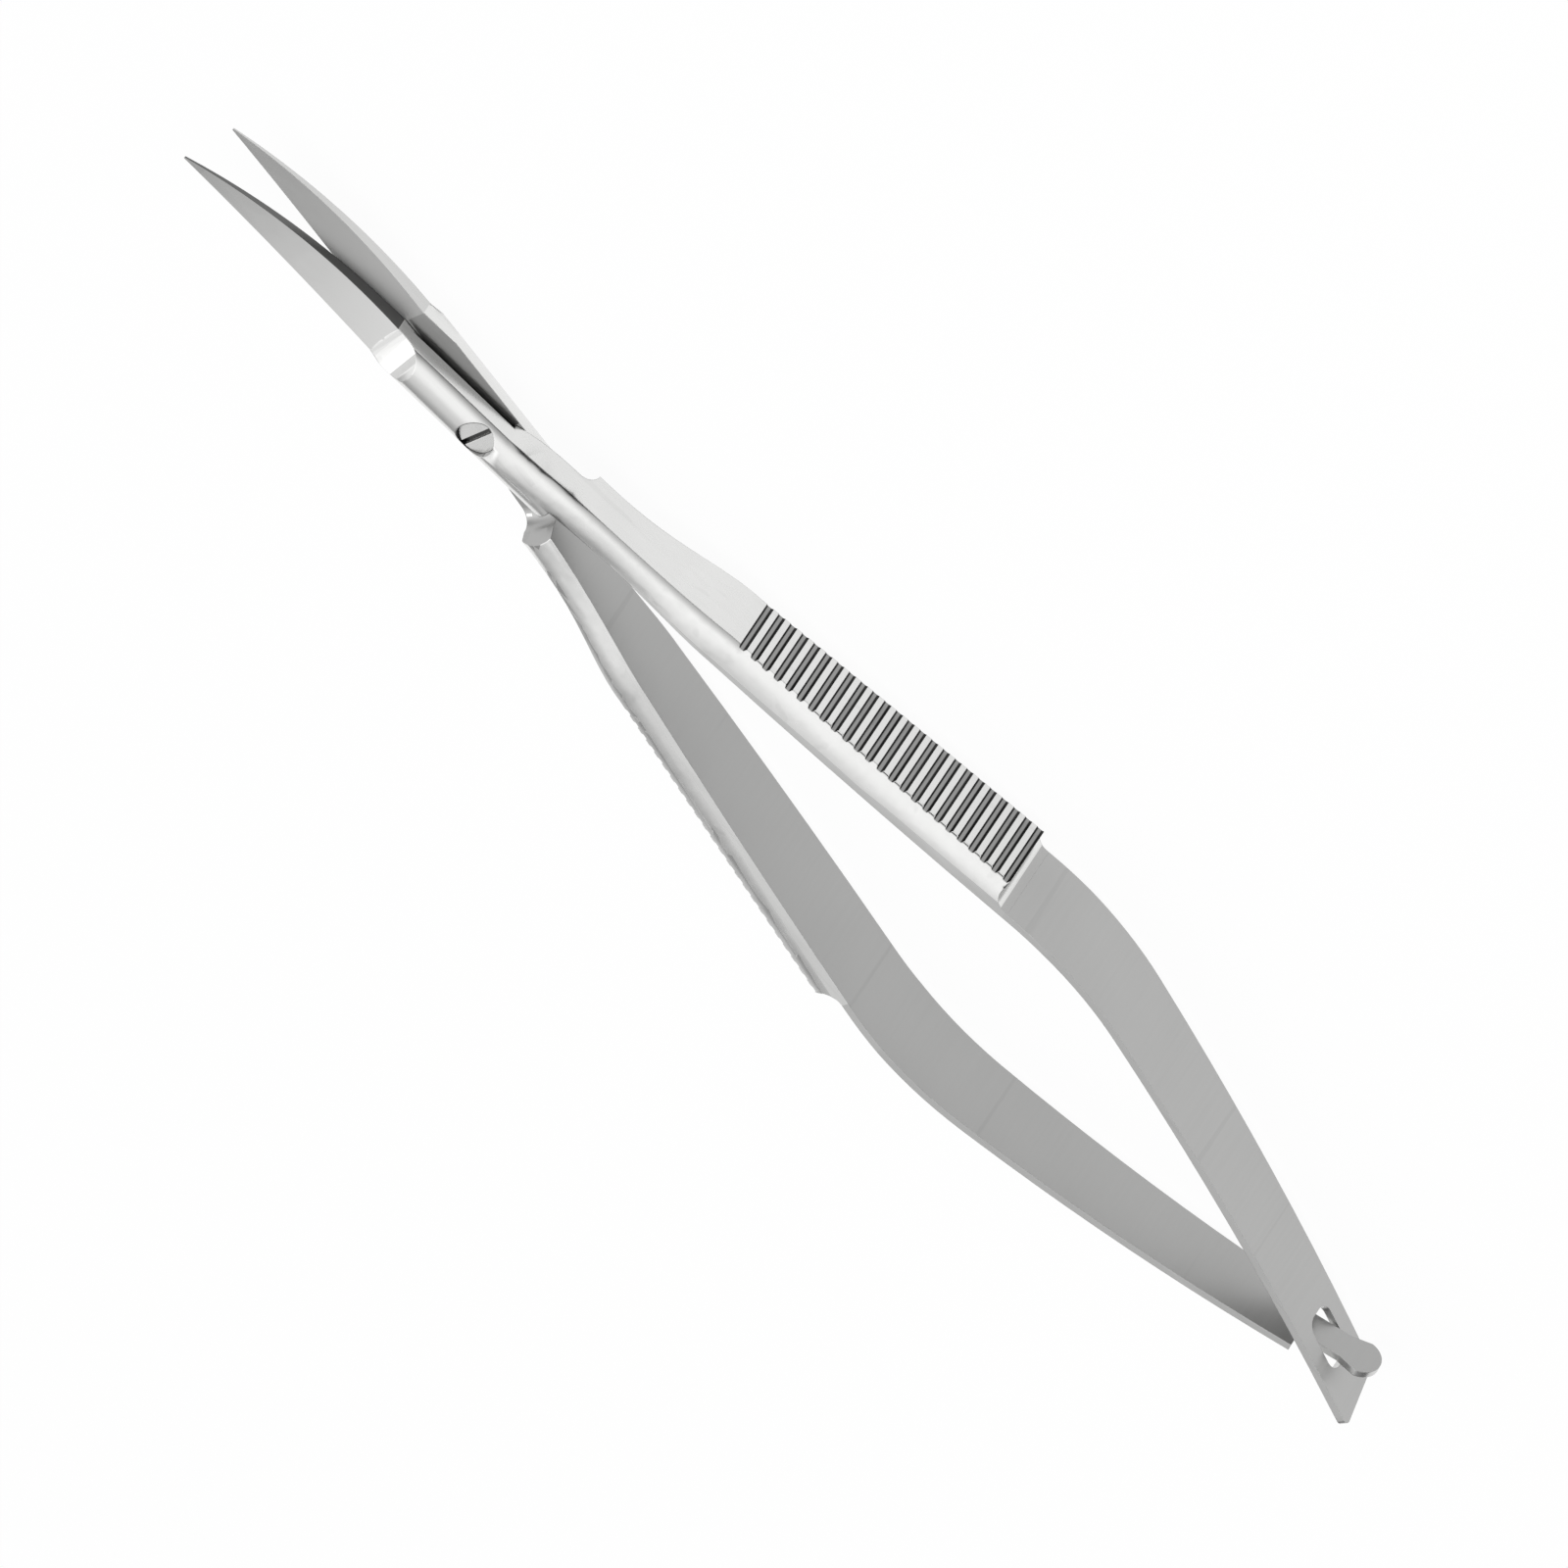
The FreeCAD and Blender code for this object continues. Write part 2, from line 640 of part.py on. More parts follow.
def make_tongue_leaf(name, up):
    """Lower leaf: square shoulders, then a narrow tongue with a round head, hooked through the eye."""
    path = tongue_leaf_path()
    body = make_strip(name, up, path, SIZES["tail_reach"] + SIZES["overrun"])
    sketch, corners = leaf_plan(body, name, up, path)
    half_shoulder = size["shoulder_width"] / 2
    half_neck = size["neck_strip_width"] / 2
    half_head = size["head_width"] / 2
    shoulder = size["shoulder_reach"]
    drop = size["tongue_drop"]
    corners += [(shoulder, half_shoulder), (shoulder, half_neck - drop),
                (-size["neck_strip_reach"], half_neck - drop), (-size["head_reach"], half_head - drop),
                (-size["head_reach"], -half_head - drop), (-size["neck_strip_reach"], -half_neck - drop),
                (shoulder, -half_neck - drop), (shoulder, -half_shoulder)]
    add_outline(sketch, corners, {7: (size["head_end_radius"], 1)})
    cut(body, sketch)
    return body


upper_arm = make_arm("upper_arm", 1)
lower_arm = make_arm("lower_arm", -1)
pivot_screw = make_screw("pivot_screw")
eye_leaf = make_eye_leaf("upper_spring_leaf", 1)
tongue_leaf = make_tongue_leaf("lower_spring_leaf", -1)
doc.recompute()


# Rest pose, then the whole tool set down with the middle of its underside at the origin

def turned(degrees):
    return FreeCAD.Placement(VECTOR(0, 0, 0), FreeCAD.Rotation(UPRIGHT, degrees))


leaf_turn_deg = SIZES["rest_turn_deg"] + SIZES["handle_turn_deg"]
PLACES = (
    (upper_arm, turned(SIZES["rest_turn_deg"])),
    (lower_arm, turned(-SIZES["rest_turn_deg"])),
    (pivot_screw, turned(-SIZES["rest_turn_deg"])),
    (eye_leaf, turned(leaf_turn_deg)),
    (tongue_leaf, turned(-leaf_turn_deg)),
)
for part, place in PLACES:
    part.Placement = place
doc.recompute()
box = FreeCAD.BoundBox()
for part, place in PLACES:
    box.add(part.Shape.optimalBoundingBox())
shift = VECTOR(-box.Center.x, -box.Center.y, -box.ZMin)
for part, place in PLACES:
    part.Placement = FreeCAD.Placement(shift, FreeCAD.Rotation()).multiply(place)
doc.recompute()

for item in doc.Objects:
    if "Invalid" in item.State or "Error" in item.State:
        raise RuntimeError("%s failed: %s" % (item.Name, item.State))
os.makedirs("parts", exist_ok=True)
for part, place in PLACES:
    shape = part.Shape
    if shape.isNull() or not shape.isValid() or len(shape.Solids) != 1:
        raise RuntimeError(part.Label + " is not one sound solid")
    shape.exportStep("parts/%s.step" % part.Label)
    print(part.Label, "volume", round(shape.Volume, 2), "faces", len(shape.Faces))

# Places that the joints need, in the part's own frame
root_middle = ROOT - inward(0) * HALF_LEAF
eye_middle = eye_leaf_path()[2]
land_turn = SIZES["leaf_land"] / SIZES["bend_radius"] / 2
land_middle = BEND_CENTRE - inward(land_turn) * (SIZES["bend_radius"] + HALF_LEAF)
for label, point, degrees in (("pivot", VECTOR(0, 0, 0), 0),
                              ("upper leaf root", root_middle, leaf_turn_deg),
                              ("lower leaf root", VECTOR(root_middle.x, -root_middle.y, 0), -leaf_turn_deg),
                              ("upper leaf land", land_middle, leaf_turn_deg),
                              ("eye", eye_middle, leaf_turn_deg)):
    placed = FreeCAD.Rotation(UPRIGHT, degrees).multVec(point) + shift
    print(label, [round(value, 4) for value in placed])
print("box", [round(value, 3) for value in (box.XLength, box.YLength, box.ZLength)])
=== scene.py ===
import json
import math
import bpy
import bmesh
from mathutils import Matrix, Vector
from mathutils.geometry import intersect_point_line


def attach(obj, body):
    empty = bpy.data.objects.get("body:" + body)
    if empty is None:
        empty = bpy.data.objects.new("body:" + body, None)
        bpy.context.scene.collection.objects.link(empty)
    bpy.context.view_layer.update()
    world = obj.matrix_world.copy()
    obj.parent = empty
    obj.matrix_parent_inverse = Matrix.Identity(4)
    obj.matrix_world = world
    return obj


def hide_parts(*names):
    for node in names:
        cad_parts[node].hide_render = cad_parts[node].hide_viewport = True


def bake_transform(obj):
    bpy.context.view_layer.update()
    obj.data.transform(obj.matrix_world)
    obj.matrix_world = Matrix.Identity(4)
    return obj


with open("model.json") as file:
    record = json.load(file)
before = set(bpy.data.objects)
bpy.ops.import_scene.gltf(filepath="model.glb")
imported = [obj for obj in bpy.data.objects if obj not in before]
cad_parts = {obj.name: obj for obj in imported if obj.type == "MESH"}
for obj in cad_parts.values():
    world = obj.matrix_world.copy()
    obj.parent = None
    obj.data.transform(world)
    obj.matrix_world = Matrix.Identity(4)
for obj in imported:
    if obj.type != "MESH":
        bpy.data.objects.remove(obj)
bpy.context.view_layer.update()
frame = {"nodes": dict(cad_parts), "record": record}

MM = 0.001
scene = bpy.context.scene
nodes = frame["nodes"]
joints = {joint["name"]: joint for joint in frame["record"]["behaviour"]["joints"]}
PIVOT = Vector(joints["pivot"]["pos_m"])
AHEAD = Vector((1, 0, 0))


# Camera: no perspective, at the photograph's angle, rolled so that the tips point up and left

CAMERA_RIGHT = Vector((-0.6555, -0.6408, -0.3995)).normalized()
CAMERA_BACK = Vector((0.2365, -0.6767, 0.6973)).normalized()
CAMERA_UP = CAMERA_BACK.cross(CAMERA_RIGHT).normalized()
VIEW_WIDTH = 106.667 * MM
PIVOT_RIGHT = -20.353 * MM
PIVOT_UP = 24.413 * MM
CAMERA_DISTANCE = 0.6
CLIP_START = 0.01
CLIP_END = 10


def place_camera():
    data = bpy.data.cameras.new("camera")
    data.type = "ORTHO"
    data.ortho_scale = VIEW_WIDTH
    data.clip_start = CLIP_START
    data.clip_end = CLIP_END
    camera = bpy.data.objects.new("camera", data)
    scene.collection.objects.link(camera)
    middle = PIVOT - CAMERA_RIGHT * PIVOT_RIGHT - CAMERA_UP * PIVOT_UP
    turn = Matrix((CAMERA_RIGHT, CAMERA_UP, CAMERA_BACK)).transposed().to_4x4()
    camera.matrix_world = Matrix.Translation(middle + CAMERA_BACK * CAMERA_DISTANCE) @ turn
    scene.camera = camera


place_camera()
scene.view_settings.view_transform = "Standard"


# Node helpers

COLOUR_A = 6
COLOUR_B = 7
COLOUR_OUT = 2
BLACK = (0, 0, 0, 1)


def add_node(tree, kind, **settings):
    node = tree.nodes.new(kind)
    for name, value in settings.items():
        setattr(node, name, value)
    return node


def feed(tree, socket, source):
    """Give an input either a constant or the output of another node."""
    if isinstance(source, bpy.types.NodeSocket):
        tree.links.new(source, socket)
    else:
        socket.default_value = source


def calc(tree, operation, *terms):
    node = add_node(tree, "ShaderNodeMath", operation=operation)
    for socket, term in zip(node.inputs, terms):
        feed(tree, socket, term)
    return node.outputs[0]


def remap(tree, value, low, high, to_low=0.0, to_high=1.0, shape="SMOOTHSTEP"):
    node = add_node(tree, "ShaderNodeMapRange", interpolation_type=shape)
    for socket, term in zip(node.inputs, (value, low, high, to_low, to_high)):
        feed(tree, socket, term)
    return node.outputs[0]


def swing(tree, value, depth, base):
    """Add to base what a noise value gives on either side of its middle."""
    return calc(tree, "MULTIPLY_ADD", calc(tree, "SUBTRACT", value, 0.5), depth, base)


def grey_ramp(tree, value, stops):
    """A curve of brightness: stops holds pairs of place and brightness."""
    node = add_node(tree, "ShaderNodeValToRGB")
    feed(tree, node.inputs[0], value)
    ramp = node.color_ramp
    while len(ramp.elements) < len(stops):
        ramp.elements.new(1.0)
    for element, (place, level) in zip(ramp.elements, stops):
        element.position = place
        element.color = (level, level, level, 1)
    return node.outputs[0]


# Light: a tent that is dark low down in front and white above, with its back dimmer on one side

FRONT_SKY = ((0.0, 0.04), (0.42, 0.05), (0.66, 0.75), (0.78, 1.05), (1.0, 1.1))
BACK_SKY = ((0.0, 0.45), (0.3, 0.60), (0.55, 0.76), (0.7, 1.0), (1.0, 1.1))
DIM_SIDE = -0.6
BRIGHT_SIDE = 0.7
DIM_SHARE = 0.30
BRIGHT_SHARE = 1.7
FRONT_ENDS = -0.1
BACK_STARTS = 0.45
WHITE_BELOW = 0.015


def light_tent():
    world = bpy.data.worlds.new("tent")
    world.use_nodes = True
    scene.world = world
    tree = world.node_tree
    place = add_node(tree, "ShaderNodeTexCoord")
    axes = add_node(tree, "ShaderNodeSeparateXYZ")
    tree.links.new(place.outputs["Generated"], axes.inputs[0])
    side, depth, height = axes.outputs
    tilt = remap(tree, side, DIM_SIDE, BRIGHT_SIDE, DIM_SHARE, BRIGHT_SHARE, "LINEAR")
    front = grey_ramp(tree, height, FRONT_SKY)
    back = calc(tree, "MULTIPLY", grey_ramp(tree, height, BACK_SKY), tilt)
    blend = remap(tree, depth, FRONT_ENDS, BACK_STARTS)
    sky = calc(tree, "MULTIPLY_ADD", calc(tree, "SUBTRACT", back, front), blend, front)
    below = calc(tree, "LESS_THAN", height, WHITE_BELOW)
    background = tree.nodes["Background"]
    tree.links.new(calc(tree, "MAXIMUM", sky, below), background.inputs["Color"])


FLOOR_DROP = 0.4 * MM
FLOOR_HALF = 2.0
FLOOR_TONE = (0.9, 0.9, 0.9, 1)
FLOOR_GLOW = 0.94


def make_floor():
    """White floor that keeps a faint shadow of the tool."""
    mesh = bpy.data.meshes.new("floor")
    half = FLOOR_HALF
    corners = [(-half, -half, 0), (half, -half, 0), (half, half, 0), (-half, half, 0)]
    mesh.from_pydata(corners, [], [(0, 1, 2, 3)])
    floor = bpy.data.objects.new("floor", mesh)
    floor.location.z = -FLOOR_DROP
    scene.collection.objects.link(floor)
    material = bpy.data.materials.new("floor")
    material.use_nodes = True
    tree = material.node_tree
    tree.nodes.clear()
    out = add_node(tree, "ShaderNodeOutputMaterial")
    diffuse = add_node(tree, "ShaderNodeBsdfDiffuse")
    diffuse.inputs["Color"].default_value = FLOOR_TONE
    glow = add_node(tree, "ShaderNodeEmission")
    path = add_node(tree, "ShaderNodeLightPath")
    seen = calc(tree, "MAXIMUM", path.outputs["Is Camera Ray"], path.outputs["Is Glossy Ray"])
    seen = calc(tree, "MAXIMUM", seen, path.outputs["Is Transmission Ray"])
    mix = add_node(tree, "ShaderNodeMixShader")
    tree.links.new(calc(tree, "MULTIPLY", seen, FLOOR_GLOW), mix.inputs["Fac"])
    tree.links.new(diffuse.outputs[0], mix.inputs[1])
    tree.links.new(glow.outputs[0], mix.inputs[2])
    tree.links.new(mix.outputs[0], out.inputs["Surface"])
    mesh.materials.append(material)


KEY_SIZE = 0.5
KEY_POWER = 1.5
KEY_PLACE = (0.1, -0.3, 0.6)


def add_key():
    """Broad soft lamp above the tool, on the camera's side."""
    data = bpy.data.lights.new("key", "AREA")
    data.shape = "RECTANGLE"
    data.size, data.size_y = KEY_SIZE, KEY_SIZE
    data.energy = KEY_POWER
    lamp = bpy.data.objects.new("key", data)
    lamp.location = KEY_PLACE
    lamp.rotation_euler = (-lamp.location).to_track_quat("-Z", "Y").to_euler()
    lamp.visible_glossy = False
    scene.collection.objects.link(lamp)


light_tent()
make_floor()
add_key()


# Steel: brushed grain, cloudy polish and a few scratches.  Scales are repeats per metre

ALONG = (60.0, 2200.0, 2200.0)
ACROSS = (2600.0, 300.0, 70.0)
ROUND = (1500.0, 1500.0, 1500.0)
BRUSH_DETAIL = 5
CLOUD = (90.0, 90.0, 90.0)
CLOUD_DETAIL = 2
CLOUD_DEPTH = 0.10
SCRATCH_SCALE = 0.45
SCRATCH_DETAIL = 1
SCRATCH_START = 0.66
SCRATCH_FULL = 0.72
POLISH_SWING = 0.16
BLUE_SHARE = 0.99
BUMP_STRENGTH = 0.25
BUMP_HEIGHT = 0.0015 * MM

# Edges: rounded in shading, and a dark line of painted reflection along the crown of each arm
FINE_EDGE = 0.05 * MM
SOFT_EDGE = 0.15 * MM
EDGE_SAMPLES = 8
LINE_REACH = 0.7 * MM
PAINTED_LINE_DEPTH = 0.50


def steel(name, tone, rough, grain, grain_depth=0.10, scratch_depth=0.05, edge=FINE_EDGE, lined=0.0):
    """Bare steel.  lined is how much darker a painted dark reflection makes it where the mesh says that an
    edge is near.
    """
    material = bpy.data.materials.new(name)
    material.use_nodes = True
    tree = material.node_tree
    shader = tree.nodes["Principled BSDF"]
    shader.inputs["Metallic"].default_value = 1
    place = add_node(tree, "ShaderNodeTexCoord").outputs["Object"]

    def noise(scale, detail):
        stretch = add_node(tree, "ShaderNodeMapping")
        tree.links.new(place, stretch.inputs["Vector"])
        stretch.inputs["Scale"].default_value = scale
        texture = add_node(tree, "ShaderNodeTexNoise")
        tree.links.new(stretch.outputs[0], texture.inputs["Vector"])
        texture.inputs["Scale"].default_value = 1
        texture.inputs["Detail"].default_value = detail
        return texture.outputs[0]

    brush = noise(grain, BRUSH_DETAIL)
    cloud = noise(CLOUD, CLOUD_DETAIL)
    streaks = noise([share * SCRATCH_SCALE for share in grain], SCRATCH_DETAIL)
    scratch = remap(tree, streaks, SCRATCH_START, SCRATCH_FULL)
    shade = swing(tree, brush, grain_depth * 2, 1.0)
    shade = swing(tree, cloud, CLOUD_DEPTH, shade)
    shade = calc(tree, "MULTIPLY_ADD", scratch, -scratch_depth, shade)
    # Painted reflection: a dark line along the crown's edge, from the near_edge mark
    if lined:
        near = add_node(tree, "ShaderNodeAttribute", attribute_name="near_edge").outputs["Fac"]
        shade = calc(tree, "MULTIPLY", shade, remap(tree, near, 0.0, 1.0, 1.0, 1.0 - lined))
    colour = add_node(tree, "ShaderNodeMix", data_type="RGBA")
    feed(tree, colour.inputs[0], shade)
    colour.clamp_factor = False
    colour.inputs[COLOUR_A].default_value = BLACK
    colour.inputs[COLOUR_B].default_value = (tone, tone, tone * BLUE_SHARE, 1)
    tree.links.new(colour.outputs[COLOUR_OUT], shader.inputs["Base Color"])
    tree.links.new(swing(tree, brush, POLISH_SWING, rough), shader.inputs["Roughness"])
    rounding = add_node(tree, "ShaderNodeBevel", samples=EDGE_SAMPLES)
    rounding.inputs["Radius"].default_value = edge
    bump = add_node(tree, "ShaderNodeBump")
    tree.links.new(rounding.outputs[0], bump.inputs["Normal"])
    bump.inputs["Strength"].default_value = BUMP_STRENGTH
    bump.inputs["Distance"].default_value = BUMP_HEIGHT
    tree.links.new(brush, bump.inputs["Height"])
    tree.links.new(bump.outputs[0], shader.inputs["Normal"])
    return material


# Grooves, whose floors carry painted shade: each arm is turned open at rest, and its handle is set askew
# to its blade
REST_TURN = math.radians(5.17)
HANDLE_TURN = math.radians(5.33)
GRIP_TURN = REST_TURN + HANDLE_TURN
GROOVE_FIRST = 23.0 * MM
GROOVE_PITCH = 1.043 * MM
GROOVE_CLEAR = 0.09 * MM
GROOVE_EDGE = 0.16 * MM
GROOVE_DARK = 0.12


def shaded_grooves(material):
    """Painted shade: darken a groove's floor where it meets its two walls."""
    tree = material.node_tree
    shader = tree.nodes["Principled BSDF"]
    axes = add_node(tree, "ShaderNodeSeparateXYZ")
    tree.links.new(add_node(tree, "ShaderNodeTexCoord").outputs["Object"], axes.inputs[0])
    ahead = calc(tree, "MULTIPLY", calc(tree, "SUBTRACT", axes.outputs[0], PIVOT.x), math.cos(GRIP_TURN))
    aside = calc(tree, "MULTIPLY", calc(tree, "ABSOLUTE", axes.outputs[1]), math.sin(GRIP_TURN))
    back = calc(tree, "SUBTRACT", calc(tree, "SUBTRACT", aside, ahead), GROOVE_FIRST)
    part = calc(tree, "FRACT", calc(tree, "MULTIPLY_ADD", back, 1 / GROOVE_PITCH, 0.5))
    from_middle = calc(tree, "ABSOLUTE", calc(tree, "SUBTRACT", part, 0.5))
    offset = calc(tree, "MULTIPLY", from_middle, GROOVE_PITCH)
    shade = remap(tree, offset, GROOVE_CLEAR, GROOVE_EDGE, 1.0, GROOVE_DARK)
    colour = add_node(tree, "ShaderNodeMix", data_type="RGBA")
    feed(tree, colour.inputs[0], shade)
    colour.inputs[COLOUR_A].default_value = BLACK
    tree.links.new(shader.inputs["Base Color"].links[0].from_socket, colour.inputs[COLOUR_B])
    tree.links.new(colour.outputs[COLOUR_OUT], shader.inputs["Base Color"])
    return material


FINISHES = {
    "barrel": steel("barrel", 0.80, 0.24, ALONG, 0.05, edge=SOFT_EDGE, lined=PAINTED_LINE_DEPTH),
    "crown": steel("crown", 0.82, 0.24, ROUND, 0.06, edge=SOFT_EDGE, lined=PAINTED_LINE_DEPTH),
    "crown_shade": steel("crown_shade", 0.50, 0.30, ROUND, 0.06),
    "wall": steel("wall", 0.68, 0.30, ALONG, 0.06),
    "wall_lit": steel("wall_lit", 0.84, 0.30, ALONG, 0.06),
    "face": steel("face", 0.78, 0.28, ALONG, 0.05, edge=SOFT_EDGE),
    "inner": steel("inner", 0.42, 0.36, ACROSS, 0.06, 0.06),
    # Groove floors: painted shade, a darker steel than the face and darker still beside the walls
    "groove_floor": shaded_grooves(steel("groove_floor", 0.34, 0.40, ALONG, 0.08)),
    # Groove walls: painted shade, near-black steel
    "shaded_groove_wall": steel("shaded_groove_wall", 0.03, 0.45, ALONG, 0.08),
    "blade_back": steel("blade_back", 0.82, 0.22, ALONG, 0.02, edge=0.0),
    "blade_flat": steel("blade_flat", 0.64, 0.60, ALONG, 0.03),
    "blade_edge": steel("blade_edge", 0.66, 0.30, ALONG, 0.06),
    "blade_shade": steel("blade_shade", 0.16, 0.35, ALONG, 0.05),
    # Front of the scoop: painted highlight, the brightest steel; its back has a darker steel
    "scoop": steel("scoop", 1.0, 0.18, ROUND, 0.03),
    "scoop_back": steel("scoop_back", 0.62, 0.24, ALONG, 0.05),
    # Counterbore wall toward the tip and rim of the screw head: painted shade, near-black steel
    "shaded_bore": steel("shaded_bore", 0.04, 0.45, ROUND, 0.05),
    "lap": steel("lap", 0.45, 0.35, ALONG, 0.06),
    "end": steel("end", 0.46, 0.35, ACROSS, 0.06),
    "leaf_outer": steel("leaf_outer", 0.47, 0.34, ACROSS, 0.06, 0.05),
    "leaf_inner": steel("leaf_inner", 0.42, 0.36, ACROSS, 0.06, 0.06),
    "leaf_side": steel("leaf_side", 0.66, 0.30, ALONG, 0.06),
    "screw": steel("screw", 0.89, 0.28, ROUND, 0.05),
    "slot": steel("slot", 0.45, 0.35, ROUND, 0.05),
    # Slot floor: painted shade, near-black steel
    "shaded_slot_floor": steel("shaded_slot_floor", 0.07, 0.40, ROUND, 0.05),
    # Slot walls: painted light, near-white steel
    "lit_slot_wall": steel("lit_slot_wall", 0.97, 0.50, ROUND, 0.05),
}


# Arms and screw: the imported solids, with a finish for each face.  Places are measured ahead of the pivot

BAR_FRONT = 9.2 * MM
BAR_SLACK = 0.01 * MM
SCOOP_BACK = 6.3 * MM
SCOOP_BRIGHT = 7.2 * MM
BLADE_ROOT = 1.5 * MM
BORE_REACH = 1.5 * MM
BORE_DARK = -0.3 * MM
SLOT_LEVEL = 1.2 * MM
RIM_START = 0.7 * MM
NECK = -5.0 * MM
LAP_REACH = -6.4 * MM
LAP_END = -9.0 * MM
THROAT = -11.0 * MM
SHANK = -22.0 * MM
GROOVES_START = -22.4 * MM
GROOVES_END = -47.3 * MM
STEP = -48.0 * MM
GROOVE_HALF_DEPTH = 0.11 * MM

# Grip: the thickness and the straight wall change evenly over its length
GRIP_LENGTH = 27.0 * MM
INNER = 0.72 * MM
SHANK_THICK = 2.75 * MM
HEEL_THICK = 2.52 * MM
FACE_AT_SHANK = SHANK_THICK - INNER
FACE_SLOPE = (SHANK_THICK - HEEL_THICK) / GRIP_LENGTH
WALL_AT_SHANK = 0.35 * MM
WALL_AT_HEEL = 0.90 * MM
WALL_SLOPE = (WALL_AT_HEEL - WALL_AT_SHANK) / GRIP_LENGTH

# Facing: how far a face's normal has to point one way for each finish
LEANING = 0.2
UNDERNEATH = -0.3
CROWN_TURN = 0.35
END_ON = 0.45
UPRIGHT = 0.5
BLADE_LEVEL = 0.7
WALL_LEVEL = 0.8
FACE_SQUARE = 0.85
SQUARE = 0.9
INNER_SQUARE = 0.95
SCOOP_LEVEL = 0.985

# Meshes
WELD = 0.002 * MM
SMOOTH_ANGLE = math.radians(0.6)
EDGE_ANGLE = math.radians(18)
NORMAL_WEIGHT = 80


def turned(vector, angle):
    return Matrix.Rotation(angle, 3, "Z") @ vector


def arm_region(centre, normal, up):
    """Which finish a face of an arm has, from its place and the way it faces."""
    place = turned(centre - PIVOT, -up * REST_TURN)
    facing = turned(normal, -up * REST_TURN)
    level = facing.z * up
    if place.x > BAR_FRONT - BAR_SLACK:
        if level > BLADE_LEVEL:
            return "blade_back"
        if level < -BLADE_LEVEL:
            return "blade_flat"
        return "blade_shade" if up > 0 else "blade_edge"
    if math.hypot(place.x, place.y) < BORE_REACH and abs(level) < UPRIGHT:
        # Painted shade on the counterbore wall toward the tip; the rest of that wall gets the lighter slot
        # steel
        return "shaded_bore" if place.x > BORE_DARK else "slot"
    if place.x > SCOOP_BACK and (level > SCOOP_LEVEL or level > 0 and facing.x > LEANING):
        # Painted highlight: the front of the scoop is given brighter steel than its back
        return "scoop" if place.x > SCOOP_BRIGHT else "scoop_back"
    grip_place = turned(place, -up * HANDLE_TURN)
    grip_facing = turned(facing, -up * HANDLE_TURN)
    outward = -up * grip_facing.y
    behind_shank = SHANK - grip_place.x
    wall_height = WALL_AT_SHANK + behind_shank * WALL_SLOPE
    on_wall = abs(level) > WALL_LEVEL and INNER - up * grip_place.y < wall_height
    wall = "wall" if up > 0 else "wall_lit"
    shaded = up < 0 and outward > CROWN_TURN
    if grip_place.x > GROOVES_START or grip_place.x < GROOVES_END:
        if level < -SQUARE and place.x > LAP_END:
            return "lap"
        if THROAT < place.x < LAP_REACH and facing.x > END_ON:
            return "end"
        if grip_place.x < STEP and outward > LEANING:
            return "leaf_outer"
        if place.x > NECK and level < UNDERNEATH and outward > LEANING:
            return "blade_shade" if up > 0 else "blade_edge"
        if outward > FACE_SQUARE:
            return "blade_edge" if up < 0 and place.x > NECK else "face"
        if outward < -INNER_SQUARE and place.x < NECK:
            return "inner"
        if on_wall and place.x < THROAT:
            return wall
        if shaded and place.x < THROAT:
            return "crown_shade"
        return "barrel" if place.x > NECK else "crown"
    if outward > SQUARE:
        below = FACE_AT_SHANK - behind_shank * FACE_SLOPE + up * grip_place.y
        # Groove floors carry painted shade
        return "groove_floor" if below > GROOVE_HALF_DEPTH else "face"
    if outward < -INNER_SQUARE:
        return "inner"
    if abs(grip_facing.x) > UPRIGHT:
        # Painted shade on the groove walls
        return "shaded_groove_wall"
    if on_wall:
        return wall
    return "crown_shade" if shaded else "crown"


def screw_region(centre, normal):
    """Which finish a face of the screw has: head; rim in painted shade; the slot's floor in painted shade
    and its walls in painted light.
    """
    if abs(normal.z) < SQUARE:
        return "shaded_bore" if (centre - PIVOT).xy.length > RIM_START else "lit_slot_wall"
    return "screw" if centre.z - PIVOT.z > SLOT_LEVEL else "shaded_slot_floor"


def all_of(work):
    return work.verts[:] + work.edges[:] + work.faces[:]


def narrow_front(work, up):
    """Draw the front of the bar in to the width of the blade that leaves it."""
    ahead = turned(AHEAD, up * REST_TURN)
    bmesh.ops.bisect_plane(work, geom=all_of(work), plane_co=PIVOT + ahead * SCOOP_BACK, plane_no=ahead)
    places = [(vert, turned(vert.co - PIVOT, -up * REST_TURN)) for vert in work.verts]
    blade = [place.y for _, place in places if BAR_FRONT + WELD < place.x < BAR_FRONT + BLADE_ROOT]
    bar = [place.y for _, place in places if abs(place.x - SCOOP_BACK) < WELD]
    for vert, place in places:
        if SCOOP_BACK < place.x < BAR_FRONT + WELD:
            share = (place.x - SCOOP_BACK) / (BAR_FRONT - SCOOP_BACK)
            least = min(bar) + (min(blade) - min(bar)) * share
            most = max(bar) + (max(blade) - max(bar)) * share
            place.y = min(max(place.y, least), most)
            vert.co = turned(place, up * REST_TURN) + PIVOT


def on_segment(point, first, last):
    """The place on a straight edge that lies nearest to point."""
    foot, share = intersect_point_line(point, first, last)
    return first if share < 0 else last if share > 1 else foot


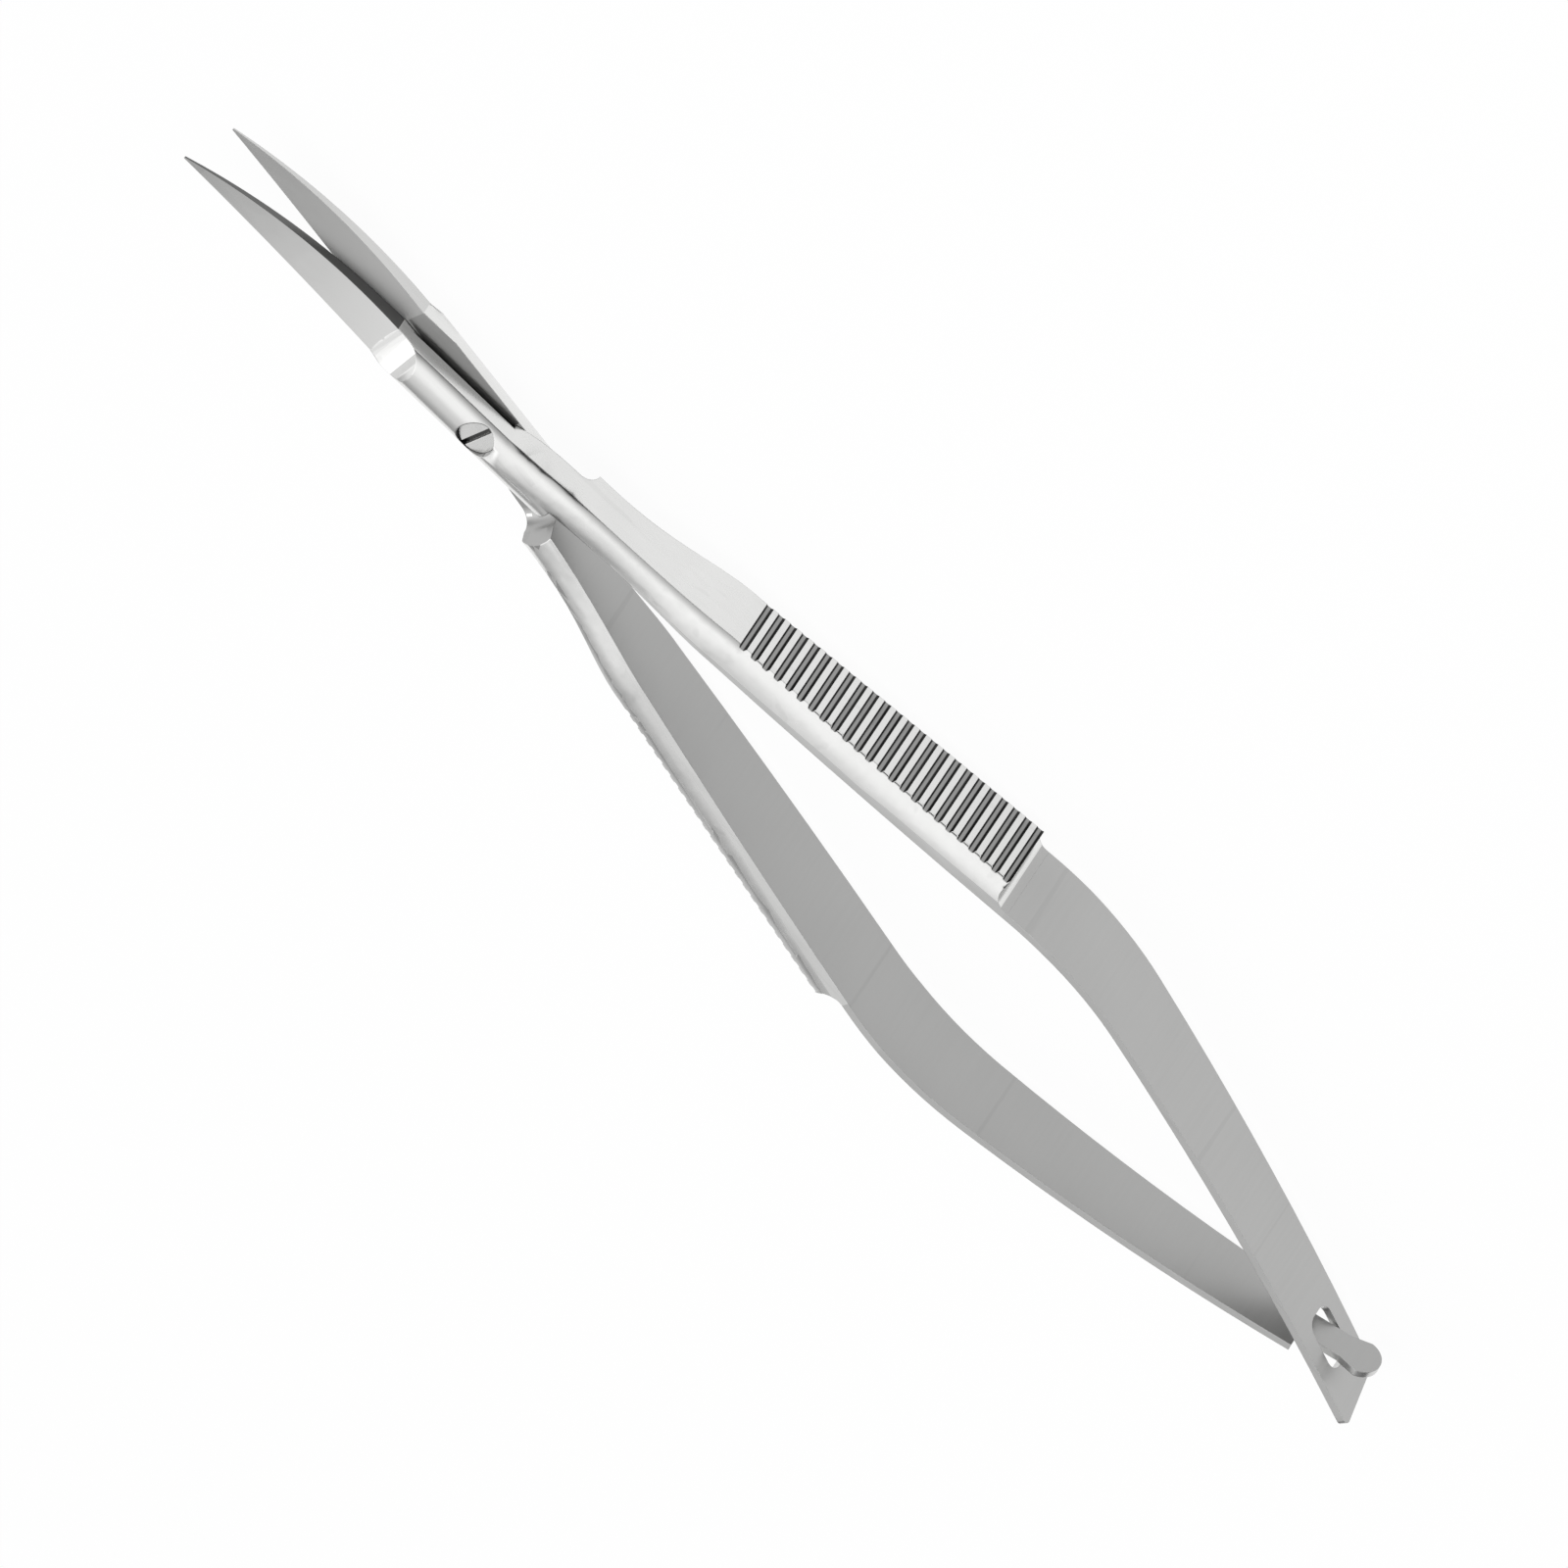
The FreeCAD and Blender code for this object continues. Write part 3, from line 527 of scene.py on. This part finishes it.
def mark_crown_edge(work, finishes, up):
    """Tell the shading how near each corner is to the edge between the crown and the outer face, where a
    dark reflection is painted.
    """
    near = work.verts.layers.float.new("near_edge")
    round_faces = {finishes.get(label) for label in ("barrel", "crown")}
    lines = []
    for edge in work.edges:
        if len(edge.link_faces) == 2 and edge.calc_face_angle() > EDGE_ANGLE:
            pair = {face.material_index for face in edge.link_faces}
            upper = max(face.normal.z * up for face in edge.link_faces) > LEANING
            ahead = min(vert.co.x for vert in edge.verts) - PIVOT.x > GROOVES_START
            if finishes.get("face") in pair and pair & round_faces and upper and ahead:
                lines.append((edge.verts[0].co.copy(), edge.verts[1].co.copy()))
    for vert in work.verts:
        gaps = [(vert.co - on_segment(vert.co, first, last)).length for first, last in lines]
        vert[near] = max(0.0, 1.0 - min(gaps, default=LINE_REACH) / LINE_REACH)


def dressed(name, body, regions, up=0):
    """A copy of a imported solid, with the finish that regions gives each face."""
    mesh = nodes[name].data.copy()
    mesh.name = name + "_steel"
    work = bmesh.new()
    work.from_mesh(mesh)
    bmesh.ops.remove_doubles(work, verts=work.verts, dist=WELD)
    if up:
        narrow_front(work, up)
    else:
        bmesh.ops.dissolve_limit(work, angle_limit=SMOOTH_ANGLE, verts=work.verts, edges=work.edges)
    mesh.materials.clear()
    finishes = {}
    work.normal_update()
    for face in work.faces:
        face.smooth = True
        finish = regions(face.calc_center_median(), face.normal)
        if finish not in finishes:
            finishes[finish] = len(finishes)
            mesh.materials.append(FINISHES[finish])
        face.material_index = finishes[finish]
    mark_crown_edge(work, finishes, up)
    work.to_mesh(mesh)
    work.free()
    mesh.set_sharp_from_angle(angle=EDGE_ANGLE)
    piece = bpy.data.objects.new(name + "_steel", mesh)
    scene.collection.objects.link(piece)
    flat = piece.modifiers.new("flat", "WEIGHTED_NORMAL")
    flat.weight = NORMAL_WEIGHT
    flat.keep_sharp = True
    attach(piece, body)
    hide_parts(name)


dressed("upper_arm", "upper_arm", lambda centre, normal: arm_region(centre, normal, 1), 1)
dressed("lower_arm", "lower_arm", lambda centre, normal: arm_region(centre, normal, -1), -1)
dressed("pivot_screw", "lower_arm", screw_region)


# Spring leaves: the imported strips, cut finely along their length

LEAF_CUTS = 48
ROOT_CLEAR = 0.02 * MM
ROOT_LAP = 0.5 * MM
LEAF_FLAT = 0.6
LEAF_LABELS = ("leaf_outer", "leaf_inner", "leaf_side")


def leaf_region(normal, inward):
    across = normal.dot(inward)
    if abs(normal.z) > LEAF_FLAT or abs(across) < LEAF_FLAT:
        return "leaf_side"
    return "leaf_inner" if across > 0 else "leaf_outer"


def bending_leaf(name, joint_name, up):
    """The leaf's strip, trimmed just behind its root, lapped into its arm and cut finely along its length.
    """
    root = Vector(joints[joint_name]["pos_m"])
    forward = turned(AHEAD, up * GRIP_TURN)
    mesh = nodes[name].data.copy()
    mesh.name = name + "_steel"
    work = bmesh.new()
    work.from_mesh(mesh)
    bmesh.ops.remove_doubles(work, verts=work.verts, dist=WELD)
    bmesh.ops.dissolve_limit(work, angle_limit=SMOOTH_ANGLE, verts=work.verts, edges=work.edges)
    bmesh.ops.bisect_plane(work, geom=all_of(work), plane_co=root - forward * ROOT_CLEAR, plane_no=forward,
                           clear_outer=True)
    rim = [edge for edge in work.edges if edge.is_boundary]
    lapped = bmesh.ops.extrude_edge_only(work, edges=rim)["geom"]
    for vert in [item for item in lapped if isinstance(item, bmesh.types.BMVert)]:
        vert.co += forward * ROOT_LAP
    length = root.x - min(vert.co.x for vert in work.verts)
    for number in range(1, LEAF_CUTS):
        cut_place = Vector((root.x - length * number / LEAF_CUTS, 0, 0))
        bmesh.ops.bisect_plane(work, geom=all_of(work), plane_co=cut_place, plane_no=AHEAD)
    bmesh.ops.recalc_face_normals(work, faces=work.faces)
    work.normal_update()
    mesh.materials.clear()
    for label in LEAF_LABELS:
        mesh.materials.append(FINISHES[label])
    for face in work.faces:
        face.smooth = True
        face.material_index = LEAF_LABELS.index(leaf_region(face.normal, Vector((0, up, 0))))
    work.to_mesh(mesh)
    work.free()
    mesh.set_sharp_from_angle(angle=EDGE_ANGLE)
    piece = bpy.data.objects.new(name + "_steel", mesh)
    scene.collection.objects.link(piece)
    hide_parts(name)
    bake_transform(piece)


bending_leaf("upper_spring_leaf", "upper_leaf_flex", 1)
bending_leaf("lower_spring_leaf", "lower_leaf_flex", -1)
